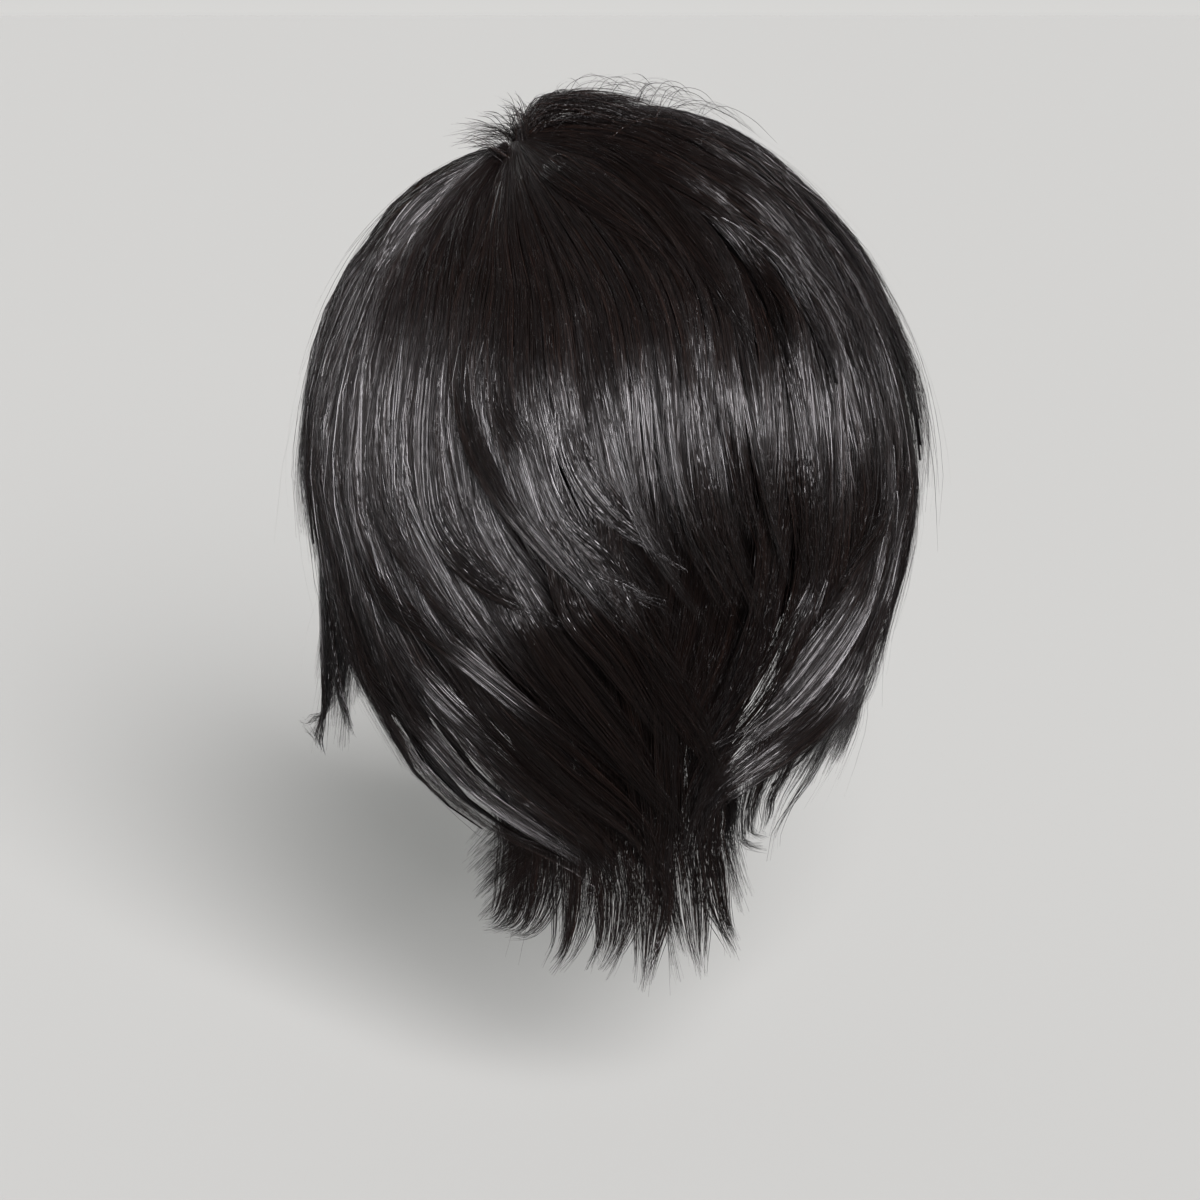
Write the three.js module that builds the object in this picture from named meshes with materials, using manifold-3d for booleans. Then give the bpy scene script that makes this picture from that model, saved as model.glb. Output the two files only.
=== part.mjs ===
// A short layered bob wig: a thin cap that sits on the head, and layers of hair locks that grow from it.
// Millimetres, +Z up. The origin is where the crown of the head touches the cap from inside.
// The face opening looks along -Y, and the wearer's left is +X.
import * as THREE from "three";
import Module from "manifold-3d";

const wasm = await Module();
wasm.setup();

// Head sizes, inside the cap
const headWidth = 152;
const headLength = 196;
const headRise = 92; // from the widest level of the head up to its crown
const capWall = 1.5;
const seatGap = 0.4; // between the cap and the hair's roots
const hairGap = 1.8; // between the cap and the hair past its roots
const rootSink = 1; // how far the roots would reach into the cap's wall before they are cut off at its seat

// Depth of the hair over the head
const sideDepth = 31;
const backDepth = 32;
const frontDepth = 18;
const topDepth = 22;
const widestSag = 13; // how far the hair's widest level lies below the head's
const napeLength = 170; // from the head's widest level down to the tips at the nape

// The whorl, where the parting ends and the hair turns
const whorlLeftOffset = 32; // from the crown of the head towards the wearer's left
const whorlBackOffset = 40;
const whorlFade = 0.36; // the drop by which the rings round the whorl have moved to the middle of the head

// Lock shape
const lockOverlap = 1.3; // width of a lock as a share of its pitch
const taperStart = 0.68; // share of a lock's length where it begins to narrow
const tipShare = 0.25; // what is left of width and depth at a tip
const lockSteps = 8;
const rootLift = 4; // the least lift of the inner side, in hundredths
const layerShare = 28; // of the outer layers, in hundredths of the hair's depth

// Cap mesh
const capTurns = 32;
const capRings = 7;

const widestDrop = 0.5;
const degrees = Math.PI / 180;

// Shapes below the widest level, as shares of the widest size. at is the drop, from widestDrop to 1 at the
// nape tips; behind is half the width behind the ears, left and right half the width in front of them.
const hairBelow = [
  { at: 0.5, behind: 1.0, back: 1.0, left: 1.0, right: 1.0, front: 1.0 },
  { at: 0.6, behind: 0.95, back: 0.98, left: 0.97, right: 0.96, front: 0.97 },
  { at: 0.7, behind: 0.86, back: 0.86, left: 0.95, right: 0.9, front: 0.9 },
  { at: 0.8, behind: 0.73, back: 0.69, left: 0.94, right: 0.86, front: 0.83 },
  { at: 0.84, behind: 0.62, back: 0.63, left: 0.93, right: 0.81, front: 0.8 },
  { at: 0.88, behind: 0.48, back: 0.58, left: 0.91, right: 0.75, front: 0.76 },
  { at: 0.94, behind: 0.45, back: 0.53, left: 0.88, right: 0.62, front: 0.71 },
  { at: 1.0, behind: 0.44, back: 0.51, left: 0.86, right: 0.56, front: 0.67 },
];
const headBelow = [
  { at: 0.5, behind: 1.0, back: 1.0, left: 1.0, right: 1.0, front: 1.0 },
  { at: 0.6, behind: 0.95, back: 0.96, left: 0.98, right: 0.98, front: 0.97 },
  { at: 0.7, behind: 0.8, back: 0.84, left: 0.93, right: 0.93, front: 0.92 },
  { at: 0.8, behind: 0.59, back: 0.66, left: 0.88, right: 0.85, front: 0.86 },
  { at: 0.88, behind: 0.53, back: 0.58, left: 0.8, right: 0.72, front: 0.78 },
  { at: 0.94, behind: 0.51, back: 0.55, left: 0.75, right: 0.62, front: 0.72 },
  { at: 1.0, behind: 0.51, back: 0.54, left: 0.7, right: 0.57, front: 0.68 },
];

// The cap's edge: how far it drops at each turn from the forehead round to the nape, the same on both sides.
const capEdge = [
  { turn: 0, drop: 0.4 },
  { turn: 30, drop: 0.41 },
  { turn: 60, drop: 0.48 },
  { turn: 75, drop: 0.56 },
  { turn: 92, drop: 0.5 },
  { turn: 110, drop: 0.54 },
  { turn: 140, drop: 0.64 },
  { turn: 180, drop: 0.67 },
];

// A guide hair runs through five points. Each is [turn in degrees from the front towards the wearer's left,
// drop in hundredths, lift of the outer side in hundredths of the hair's depth].
// A region spreads its locks evenly between its guides; depth is their thickness in the same hundredths,
// uneven is the share by which the shortest lock falls short of its guide, and a tipShare of its own makes the
// ends blunter.
const regions = [
  {
    name: "nape_hair",
    locks: 6,
    depth: 24,
    tipDepth: 40,
    tipShare: 0.55,
    uneven: 0.06,
    guides: [
      { root: [128, 48, 10], rise: [130, 63, 26], bend: [140, 77, 30], sweep: [124, 88, 62], tip: [110, 99, 92] },
      { root: [154, 48, 10], rise: [156, 64, 26], bend: [160, 79, 30], sweep: [154, 90, 62], tip: [148, 100, 90] },
      { root: [180, 48, 10], rise: [180, 65, 26], bend: [180, 80, 30], sweep: [180, 90, 62], tip: [184, 102, 88] },
      { root: [206, 48, 10], rise: [204, 64, 26], bend: [200, 79, 30], sweep: [206, 90, 62], tip: [212, 101, 90] },
      { root: [232, 48, 10], rise: [230, 63, 26], bend: [221, 77, 30], sweep: [236, 88, 62], tip: [250, 98, 94] },
    ],
  },
  {
    name: "back_hair_right",
    locks: 6,
    depth: 26,
    tipDepth: 20,
    uneven: 0.1,
    guides: [
      { root: [214, 13, 10], rise: [206, 34, 56], bend: [206, 50, 62], sweep: [206, 66, 60], tip: [202, 80, 60] },
      { root: [240, 18, 10], rise: [232, 36, 55], bend: [232, 50, 84], sweep: [228, 70, 90], tip: [206, 85, 62] },
      { root: [266, 20, 10], rise: [254, 36, 55], bend: [256, 54, 92], sweep: [254, 72, 102], tip: [222, 83, 90] },
    ],
  },
  {
    name: "back_hair_left",
    locks: 8,
    depth: layerShare,
    tipDepth: 26,
    uneven: 0.14,
    guides: [
      { root: [98, 3, 56], rise: [109, 30, 94], bend: [112, 54, 98], sweep: [119, 80, 102], tip: [166, 89, 98] },
      { root: [124, 3, 56], rise: [131, 30, 96], bend: [138, 52, 98], sweep: [160, 72, 98], tip: [202, 91, 98] },
      { root: [148, 3, 36], rise: [154, 30, 54], bend: [154, 46, 54], sweep: [172, 61, 60], tip: [198, 76, 92] },
    ],
  },
  {
    name: "back_hair_upper",
    locks: 6,
    depth: layerShare,
    tipDepth: 20,
    uneven: 0.2,
    guides: [
      { root: [162, 4, 60], rise: [149, 24, 96], bend: [150, 40, 98], sweep: [166, 52, 98], tip: [190, 66, 100] },
      { root: [188, 4, 60], rise: [180, 24, 96], bend: [182, 38, 98], sweep: [186, 50, 98], tip: [200, 63, 100] },
      { root: [220, 4, 60], rise: [210, 24, 96], bend: [207, 38, 98], sweep: [208, 49, 98], tip: [216, 60, 100] },
    ],
  },
  {
    name: "top_sweep",
    locks: 8,
    depth: 26,
    tipDepth: 14,
    uneven: 0.12,
    guides: [
      { root: [230, 2, 60], rise: [218, 18, 94], bend: [214, 28, 96], sweep: [212, 35, 100], tip: [212, 42, 104] },
      { root: [300, 2, 60], rise: [252, 15, 86], bend: [242, 26, 90], sweep: [240, 37, 98], tip: [242, 48, 104] },
      { root: [370, 10, 60], rise: [306, 20, 85], bend: [284, 32, 87], sweep: [273, 43, 98], tip: [265, 55, 108] },
      { root: [371, 27, 60], rise: [338, 33, 96], bend: [315, 41, 96], sweep: [299, 50, 100], tip: [288, 62, 104] },
    ],
  },
  {
    name: "crown_left",
    locks: 7,
    depth: layerShare,
    tipDepth: 20,
    uneven: 0.1,
    guides: [
      { root: [17, 39, 30], rise: [22, 43, 90], bend: [32, 51, 98], sweep: [42, 62, 98], tip: [50, 75, 98] },
      { root: [17, 27, 44], rise: [40, 34, 88], bend: [54, 43, 98], sweep: [62, 54, 98], tip: [68, 68, 98] },
      { root: [16, 10, 50], rise: [60, 20, 86], bend: [76, 36, 94], sweep: [82, 50, 98], tip: [86, 66, 98] },
      { root: [92, 2, 56], rise: [106, 22, 90], bend: [109, 38, 95], sweep: [110, 52, 97], tip: [111, 66, 98] },
    ],
  },
  {
    name: "fringe_right",
    locks: 5,
    depth: 26,
    tipDepth: 16,
    uneven: 0.08,
    guides: [
      { root: [9, 32, 22], rise: [-18, 34, 50], bend: [-42, 42, 64], sweep: [-56, 54, 72], tip: [-66, 70, 96] },
      { root: [13, 35, 26], rise: [-10, 38, 80], bend: [-30, 46, 90], sweep: [-46, 57, 96], tip: [-57, 71, 98] },
      { root: [15, 39, 30], rise: [-1, 43, 90], bend: [-18, 50, 96], sweep: [-33, 59, 98], tip: [-44, 71, 98] },
    ],
  },
  {
    name: "side_hair_left",
    locks: 4,
    depth: 36,
    tipDepth: 30,
    uneven: 0.06,
    guides: [
      { root: [46, 36, 10], rise: [52, 46, 50], bend: [58, 58, 62], sweep: [62, 72, 88], tip: [62, 82, 108] },
      { root: [68, 36, 10], rise: [68, 46, 50], bend: [70, 58, 62], sweep: [72, 73, 94], tip: [72, 86, 114] },
      { root: [90, 36, 10], rise: [88, 46, 50], bend: [88, 58, 62], sweep: [86, 73, 94], tip: [82, 86, 110] },
    ],
  },
  {
    name: "side_hair_right",
    locks: 4,
    depth: 40,
    tipDepth: 44,
    uneven: 0.06,
    guides: [
      { root: [-92, 36, 10], rise: [-91, 46, 50], bend: [-93, 60, 60], sweep: [-92, 75, 84], tip: [-82, 92, 94] },
      { root: [-70, 36, 10], rise: [-71, 46, 50], bend: [-73, 60, 60], sweep: [-74, 76, 86], tip: [-69, 96, 96] },
      { root: [-48, 36, 10], rise: [-54, 46, 50], bend: [-58, 60, 60], sweep: [-60, 75, 74], tip: [-55, 93, 96] },
    ],
  },
];

// A smooth step from 0 at low to 1 at high.
function smooth(low, high, x) {
  return THREE.MathUtils.smoothstep(x, low, high);
}

// One column of a table, read between its rows.
function column(rows, key, name, x) {
  const next = rows.findIndex((row) => row[key] >= x);
  if (next < 0) return rows[rows.length - 1][name];
  if (next === 0) return rows[0][name];
  const low = rows[next - 1];
  const high = rows[next];
  return low[name] + ((high[name] - low[name]) * (x - low[key])) / (high[key] - low[key]);
}

// The point at a turn and a drop on a body of revolution-like rings: an elliptic dome round the whorl above the
// widest level, and the table's sections below it.
function bodyPoint(body, turn, drop) {
  const side = Math.sin(turn * degrees);
  const ahead = Math.cos(turn * degrees);
  if (drop <= widestDrop) {
    const spread = Math.sin((drop / widestDrop) * 90 * degrees);
    const shift = (1 - smooth(0, whorlFade, drop)) * body.whorl;
    const x = shift * whorlLeftOffset + spread * body.half * side;
    const y = shift * whorlBackOffset - spread * (ahead > 0 ? body.front : body.back) * ahead;
    const reach = Math.min(1, Math.hypot(x / body.half, y / (y < 0 ? body.front : body.back)));
    return new THREE.Vector3(x, y, body.widest + (body.top - body.widest) * Math.sqrt(1 - reach * reach));
  }
  const behind = smooth(75, 105, Math.acos(THREE.MathUtils.clamp(ahead, -1, 1)) / degrees);
  const share = (name) => column(body.below, "at", name, drop);
  const half = THREE.MathUtils.lerp(share(side > 0 ? "left" : "right"), share("behind"), behind) * body.half;
  const depth = ahead > 0 ? share("front") * body.front : share("back") * body.back;
  const down = (drop - widestDrop) / (1 - widestDrop);
  return new THREE.Vector3(half * side, -depth * ahead, THREE.MathUtils.lerp(body.widest, -headRise - napeLength, down));
}

// The head's shape, grown outwards by some millimetres.
function headBody(grow) {
  return {
    half: headWidth / 2 + grow,
    front: headLength / 2 + grow,
    back: headLength / 2 + grow,
    top: grow,
    widest: -headRise,
    whorl: headWidth / (headWidth + 2 * sideDepth),
    below: headBelow,
  };
}

const hairBody = {
  half: headWidth / 2 + sideDepth,
  front: headLength / 2 + frontDepth,
  back: headLength / 2 + backDepth,
  top: topDepth,
  widest: -headRise - widestSag,
  whorl: 1,
  below: hairBelow,
};
const rootBody = headBody(capWall - rootSink);
const innerBody = headBody(capWall + hairGap);

// A point in the hair: lift 0 lies just off the cap and lift 1 on the outside of the hair.
function hairPoint(turn, drop, lift) {
  return bodyPoint(innerBody, turn, drop).lerp(bodyPoint(hairBody, turn, drop), lift);
}

// A closed mesh as a manifold solid.
function solidOf(points, faces) {
  const vertProperties = new Float32Array(points.flatMap((p) => [p.x, p.y, p.z]));
  const triVerts = new Uint32Array(faces.flat());
  return new wasm.Manifold(new wasm.Mesh({ numProp: 3, vertProperties, triVerts }));
}

// Faces between rings of equally many points, closed at both ends.
function ringFaces(rings, size) {
  const faces = [];
  for (let r = 0; r + 1 < rings; r++) {
    for (let k = 0; k < size; k++) {
      const a = r * size + k;
      const b = r * size + ((k + 1) % size);
      faces.push([a, b, b + size], [a, b + size, a + size]);
    }
  }
  const last = (rings - 1) * size;
  for (let k = 1; k + 1 < size; k++) {
    faces.push([0, k + 1, k], [last, last + k, last + k + 1]);
  }
  return faces;
}

// A dome over the head, from its crown down to the cap's edge: its crown point, then its rings.
function domePoints(body) {
  const points = [bodyPoint(body, 0, 0)];
  for (let ring = 1; ring <= capRings; ring++) {
    for (let k = 0; k < capTurns; k++) {
      const turn = (k * 360) / capTurns;
      const edge = column(capEdge, "turn", "drop", Math.min(turn, 360 - turn));
      points.push(bodyPoint(body, turn, (edge * ring) / capRings));
    }
  }
  return points;
}

const domeSize = 1 + capRings * capTurns;

// The number of a dome's point in ring 1 to capRings.
function domeIndex(ring, k) {
  return 1 + (ring - 1) * capTurns + (k % capTurns);
}

// A dome's faces, seen from outside.
function domeFaces() {
  const faces = [];
  for (let k = 0; k < capTurns; k++) {
    faces.push([0, domeIndex(1, k), domeIndex(1, k + 1)]);
    for (let ring = 1; ring < capRings; ring++) {
      faces.push([domeIndex(ring, k), domeIndex(ring + 1, k), domeIndex(ring + 1, k + 1)]);
      faces.push([domeIndex(ring, k), domeIndex(ring + 1, k + 1), domeIndex(ring, k + 1)]);
    }
  }
  return faces;
}

// The cap: a wall over the head, cut off along its edge.
function capSolid() {
  const faces = domeFaces();
  const within = domeFaces().map(([a, b, c]) => [a + domeSize, c + domeSize, b + domeSize]);
  const rim = [];
  for (let k = 0; k < capTurns; k++) {
    const a = domeIndex(capRings, k);
    const b = domeIndex(capRings, k + 1);
    rim.push([a, a + domeSize, b + domeSize], [a, b + domeSize, b]);
  }
  const points = [...domePoints(headBody(capWall)), ...domePoints(headBody(0))];
  return solidOf(points, [...faces, ...within, ...rim]);
}

// The space that the cap and the head take, with the clearance of the roots round it.
function capSpace() {
  const rim = [];
  for (let k = 0; k < capTurns; k++) {
    rim.push([domeIndex(capRings, k), domeSize, domeIndex(capRings, k + 1)]);
  }
  const middle = new THREE.Vector3(0, 0, -headRise);
  return solidOf([...domePoints(headBody(capWall + seatGap)), middle], [...domeFaces(), ...rim]);
}

// A repeatable number from 0 to 1 for each lock.
function vary(index, seed) {
  const x = Math.sin(index * 12.9898 + seed * 78.233) * 43758.5453;
  return x - Math.floor(x);
}

// A smooth path through a guide's points: x holds the turn, y the drop and z the lift.
function guideCurve(guide) {
  const points = [guide.root, guide.rise, guide.bend, guide.sweep, guide.tip].map(
    ([turn, drop, lift]) => new THREE.Vector3(turn, drop, lift),
  );
  return new THREE.CatmullRomCurve3(points);
}

// Cross-section of a lock: across from -1 to 1, and rise from its inner side at 0 to its outer side at 1.
const lockSection = [
  { across: -1, rise: 0 },
  { across: 1, rise: 0 },
  { across: 0.95, rise: 0.45 },
  { across: 0.4, rise: 1 },
  { across: -0.4, rise: 1 },
  { across: -0.95, rise: 0.45 },
];

// One lock: rings of its section along the path that the guides give at its place in the region.
function lockSolid(region, curves, index) {
  const middle = (index + 0.5) / region.locks;
  const length = 1 - region.uneven * vary(index, region.name.length);
  const blunt = region.tipShare ?? tipShare;
  const points = [];
  for (let step = 0; step <= lockSteps; step++) {
    const along = step / lockSteps;
    const across = curves.map((curve) => curve.getPoint(along * length));
    const sheet = new THREE.CatmullRomCurve3(across);
    const ending = Math.max(0, (along - taperStart) / (1 - taperStart));
    const taper = 1 - (1 - blunt) * Math.pow(ending, 1.5);
    const spread = (0.5 * lockOverlap * taper) / region.locks;
    const depth = THREE.MathUtils.lerp(region.depth, region.tipDepth, smooth(0.5, 1, along)) * taper;
    for (const corner of lockSection) {
      const place = THREE.MathUtils.clamp(middle + corner.across * spread, 0, 1);
      const p = sheet.getPoint(place);
      const outer = p.z - (region.depth * (1 - taper)) / 2;
      const inner = Math.max(rootLift, outer - depth);
      const lift = inner + (Math.max(outer, inner + 4) - inner) * corner.rise;
      const root = step === 0 && corner.rise === 0;
      points.push(root ? bodyPoint(rootBody, p.x, p.y / 100) : hairPoint(p.x, p.y / 100, lift / 100));
    }
  }
  return solidOf(points, ringFaces(lockSteps + 1, lockSection.length));
}

// A region of hair: its locks fused into one solid.
function regionSolid(region) {
  const curves = region.guides.map(guideCurve);
  const locks = Array.from({ length: region.locks }, (_, index) => lockSolid(region, curves, index));
  return locks.reduce((fused, lock) => fused.add(lock)).subtract(capSpace());
}

// A named mesh of a solid.
function meshOf(name, solid, material) {
  const { vertProperties, triVerts } = solid.getMesh();
  const geometry = new THREE.BufferGeometry();
  geometry.setAttribute("position", new THREE.BufferAttribute(vertProperties, 3));
  geometry.setIndex(new THREE.BufferAttribute(triVerts, 1));
  geometry.computeVertexNormals();
  const mesh = new THREE.Mesh(geometry, material);
  mesh.name = name;
  return mesh;
}

const hairMaterial = new THREE.MeshStandardMaterial({ color: 0x1b1716, roughness: 0.35, metalness: 0 });
const capMaterial = new THREE.MeshStandardMaterial({ color: 0x16130f, roughness: 0.9, metalness: 0 });

const wig = new THREE.Group();
wig.add(meshOf("cap", capSolid(), capMaterial));
for (const region of regions) {
  wig.add(meshOf(region.name, regionSolid(region), hairMaterial));
}

export default wig;
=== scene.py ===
import math

import bpy
import numpy as np
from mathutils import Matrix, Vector


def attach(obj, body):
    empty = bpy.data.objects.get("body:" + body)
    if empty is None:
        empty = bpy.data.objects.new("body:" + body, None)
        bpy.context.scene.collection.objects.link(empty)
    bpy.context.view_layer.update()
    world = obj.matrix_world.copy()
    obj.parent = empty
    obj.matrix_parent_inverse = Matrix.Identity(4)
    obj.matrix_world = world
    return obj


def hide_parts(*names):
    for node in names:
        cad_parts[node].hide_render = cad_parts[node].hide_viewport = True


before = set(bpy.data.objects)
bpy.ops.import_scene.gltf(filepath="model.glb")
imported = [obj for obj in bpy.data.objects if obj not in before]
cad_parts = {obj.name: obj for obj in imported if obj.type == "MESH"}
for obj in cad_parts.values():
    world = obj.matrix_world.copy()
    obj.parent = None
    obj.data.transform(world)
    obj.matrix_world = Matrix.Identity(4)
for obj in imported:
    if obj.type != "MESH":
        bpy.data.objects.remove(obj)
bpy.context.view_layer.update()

MM = 0.001
FULL_TURN = 6.28

# The photograph: size and focal length in pixels, downward pitch in degrees, the camera's place in metres
# and its sensor's width in millimetres
PHOTO_SIZE = 1200
PHOTO_FOCAL = 3340
PHOTO_PITCH = 10
PHOTO_PLACE = (0.0038, 1.132, 0.0488)
SENSOR = 36.0

# Places on the wig are a turn, a drop and a lift. The turn is in degrees, 0 in front and 90 at the wearer's left.
# The drop is 0 at the whorl, 50 where the hair is widest and 100 at the nape tips.
# The lift is 0 just off the cap and 100 on the outside of the hair.

# Sizes in millimetres, as in the part
HEAD_WIDTH = 152
HEAD_LENGTH = 196
HEAD_RISE = 92
CAP_WALL = 1.5
HAIR_GAP = 1.8
SIDE_DEPTH = 31
BACK_DEPTH = 32
FRONT_DEPTH = 18
TOP_DEPTH = 22
WIDEST_SAG = 13
NAPE_LENGTH = 170
WHORL_LEFT = 32
WHORL_BACK = 40
WHORL_FADE = 0.36
WIDEST_DROP = 0.5
INNER_POINT = np.array([0, 0, -100.0])

# Build of the hair: steps along each hair, clumps in each lock, and the length of a wave in millimetres
LOCK_SPLIT = 2
STRAND_STEPS = 12
STRAND_CLUMPS = 7
ACCENT_STEPS = 14
ACCENT_CLUMPS = 9
FREE_STEPS = 12
LOOSE_HAIRS = 60
WAVE_LENGTH = 70

# Body of a lock: its steps, half width as a share of its place, depth under its hairs, and section across and up
BODY_STEPS = 18
BODY_HALF = 0.68
BODY_SINK = -2.2
BODY_SECTION = np.array([(-1, 0.1), (-0.4, 0), (0.4, 0), (1, 0.1), (0.96, 0.5), (0.6, 0.86), (0, 1),
                         (-0.6, 0.86), (-0.96, 0.5)])

# Columns: drop, then shares of the widest size behind the ears, at the back, left, right and in front
HAIR_BELOW = np.array([
    [0.5, 1.0, 1.0, 1.0, 1.0, 1.0],
    [0.6, 0.95, 0.98, 0.97, 0.96, 0.97],
    [0.7, 0.86, 0.86, 0.95, 0.9, 0.9],
    [0.8, 0.73, 0.69, 0.94, 0.86, 0.83],
    [0.84, 0.62, 0.63, 0.93, 0.81, 0.8],
    [0.88, 0.48, 0.58, 0.91, 0.75, 0.76],
    [0.94, 0.45, 0.53, 0.88, 0.62, 0.71],
    [1.0, 0.44, 0.51, 0.86, 0.56, 0.67],
])
HEAD_BELOW = np.array([
    [0.5, 1.0, 1.0, 1.0, 1.0, 1.0],
    [0.6, 0.95, 0.96, 0.98, 0.98, 0.97],
    [0.7, 0.8, 0.84, 0.93, 0.93, 0.92],
    [0.8, 0.59, 0.66, 0.88, 0.85, 0.86],
    [0.88, 0.53, 0.58, 0.8, 0.72, 0.78],
    [0.94, 0.51, 0.55, 0.75, 0.62, 0.72],
    [1.0, 0.51, 0.54, 0.7, 0.57, 0.68],
])

# Guide hairs of each region: root, rise, bend, sweep and tip, each as turn, drop and lift.
# The depth and tip are the thickness of its locks in hundredths of the hair's depth.
REGIONS = {
    "nape_hair": dict(locks=6, depth=24, tip=40, guides=[
        [[128, 48, 10], [132, 63, 26], [148, 77, 29], [142, 88, 60], [135, 102, 90]],
        [[154, 48, 10], [156, 64, 26], [160, 79, 30], [156, 90, 62], [150, 101, 92]],
        [[180, 48, 10], [180, 65, 26], [180, 80, 30], [180, 90, 62], [184, 102, 90]],
        [[206, 48, 10], [204, 64, 26], [200, 79, 30], [206, 90, 62], [212, 104, 92]],
        [[232, 48, 10], [230, 63, 26], [221, 77, 30], [236, 88, 62], [246, 101, 92]],
    ]),
    "back_hair_right": dict(locks=6, depth=26, tip=20, guides=[
        [[214, 13, 10], [210, 32, 78], [207, 47, 84], [206, 65, 70], [202, 80, 60]],
        [[240, 18, 10], [232, 33, 84], [231, 47, 92], [228, 69, 92], [206, 85, 64]],
        [[266, 20, 10], [254, 35, 80], [255, 53, 94], [252, 71, 98], [222, 83, 88]],
    ]),
    "back_hair_left": dict(locks=8, depth=28, tip=26, guides=[
        [[98, 1, 92], [109, 30, 94], [112, 54, 98], [119, 80, 102], [166, 89, 98]],
        [[124, 1, 92], [131, 30, 96], [138, 52, 98], [160, 72, 98], [202, 91, 98]],
        [[148, 2, 80], [155, 30, 82], [156, 46, 80], [173, 61, 78], [198, 76, 92]],
    ]),
    "back_hair_upper": dict(locks=6, depth=28, tip=20, guides=[
        [[162, 1, 92], [149, 24, 96], [150, 40, 98], [166, 52, 98], [190, 66, 100]],
        [[188, 1, 92], [180, 24, 96], [182, 38, 98], [186, 50, 98], [200, 63, 100]],
        [[228, 1, 92], [212, 24, 96], [207, 38, 98], [208, 49, 98], [216, 60, 100]],
    ]),
    "top_sweep": dict(locks=8, depth=26, tip=14, guides=[
        [[214, 1, 92], [213, 18, 96], [214, 28, 96], [212, 35, 100], [212, 43, 103]],
        [[300, 1, 92], [252, 15, 86], [242, 26, 90], [240, 37, 98], [242, 50, 101]],
        [[373, 10, 34], [306, 20, 85], [284, 32, 87], [273, 43, 98], [265, 57, 100]],
        [[373, 29, 34], [338, 35, 94], [315, 43, 96], [298, 52, 99], [288, 65, 100]],
    ]),
    "crown_left": dict(locks=7, depth=28, tip=20, guides=[
        [[15, 40, 30], [19, 47, 84], [28, 55, 94], [39, 65, 98], [47, 77, 98]],
        [[15, 27, 34], [40, 34, 88], [54, 43, 98], [62, 54, 98], [68, 68, 98]],
        [[14, 10, 34], [60, 20, 86], [76, 36, 94], [82, 50, 98], [86, 66, 98]],
        [[96, 1, 90], [110, 22, 92], [113, 38, 95], [114, 52, 96], [114, 66, 97]],
    ]),
    "fringe_right": dict(locks=5, depth=26, tip=16, guides=[
        [[12, 25, 22], [-18, 29, 62], [-42, 37, 78], [-56, 49, 84], [-66, 67, 97]],
        [[13, 35, 26], [-10, 38, 80], [-30, 46, 90], [-46, 57, 96], [-57, 71, 98]],
        [[14, 40, 30], [3, 47, 84], [-12, 55, 94], [-28, 64, 98], [-41, 75, 98]],
    ]),
    "side_hair_left": dict(locks=4, depth=36, tip=30, guides=[
        [[46, 36, 10], [52, 46, 50], [58, 58, 62], [62, 70, 88], [64, 80, 104]],
        [[68, 36, 10], [68, 46, 50], [70, 58, 62], [72, 71, 92], [74, 83, 106]],
        [[90, 36, 10], [88, 46, 50], [88, 58, 62], [87, 71, 90], [88, 83, 104]],
    ]),
    "side_hair_right": dict(locks=4, depth=40, tip=44, guides=[
        [[-107, 36, 10], [-108, 46, 50], [-107, 60, 62], [-102, 73, 78], [-96, 83, 84]],
        [[-70, 36, 10], [-71, 46, 50], [-73, 60, 60], [-74, 75, 82], [-72, 89, 88]],
        [[-48, 36, 10], [-54, 46, 50], [-58, 60, 60], [-60, 75, 76], [-57, 93, 90]],
    ]),
}


def smooth(low, high, x):
    t = np.clip((x - low) / (high - low), 0, 1)
    return t * t * (3 - 2 * t)


def grown_head(grow):
    return dict(half=HEAD_WIDTH / 2 + grow, front=HEAD_LENGTH / 2 + grow, back=HEAD_LENGTH / 2 + grow,
                top=grow, widest=-HEAD_RISE, whorl=HEAD_WIDTH / (HEAD_WIDTH + 2 * SIDE_DEPTH), below=HEAD_BELOW)


CAP_BODY = grown_head(CAP_WALL + HAIR_GAP)
HAIR_BODY = dict(half=HEAD_WIDTH / 2 + SIDE_DEPTH, front=HEAD_LENGTH / 2 + FRONT_DEPTH,
                 back=HEAD_LENGTH / 2 + BACK_DEPTH, top=TOP_DEPTH, widest=-HEAD_RISE - WIDEST_SAG,
                 whorl=1, below=HAIR_BELOW)


def body_points(body, turn, drop):
    """Points at a turn in degrees and a drop from 0 at the whorl to 1 at the nape tips."""
    side, ahead = np.sin(np.radians(turn)), np.cos(np.radians(turn))
    depth = np.where(ahead > 0, body["front"], body["back"])
    spread = np.sin(np.clip(drop / WIDEST_DROP, 0, 1) * np.pi / 2)
    shift = (1 - smooth(0, WHORL_FADE, drop)) * body["whorl"]
    x = shift * WHORL_LEFT + spread * body["half"] * side
    y = shift * WHORL_BACK - spread * depth * ahead
    reach = np.minimum(1, np.hypot(x / body["half"], y / np.where(y < 0, body["front"], body["back"])))
    z = body["widest"] + (body["top"] - body["widest"]) * np.sqrt(1 - reach * reach)

    def share(column):
        return np.interp(drop, body["below"][:, 0], body["below"][:, column])

    behind = smooth(75, 105, np.degrees(np.arccos(np.clip(ahead, -1, 1))))
    half = np.where(side > 0, share(3), share(4)) * (1 - behind) + share(1) * behind
    down = (drop - WIDEST_DROP) / (1 - WIDEST_DROP)
    low = drop > WIDEST_DROP
    x = np.where(low, half * body["half"] * side, x)
    y = np.where(low, -np.where(ahead > 0, share(5), share(2)) * depth * ahead, y)
    z = np.where(low, body["widest"] + (-HEAD_RISE - NAPE_LENGTH - body["widest"]) * down, z)
    return np.stack([x, y, z], -1)


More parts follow.
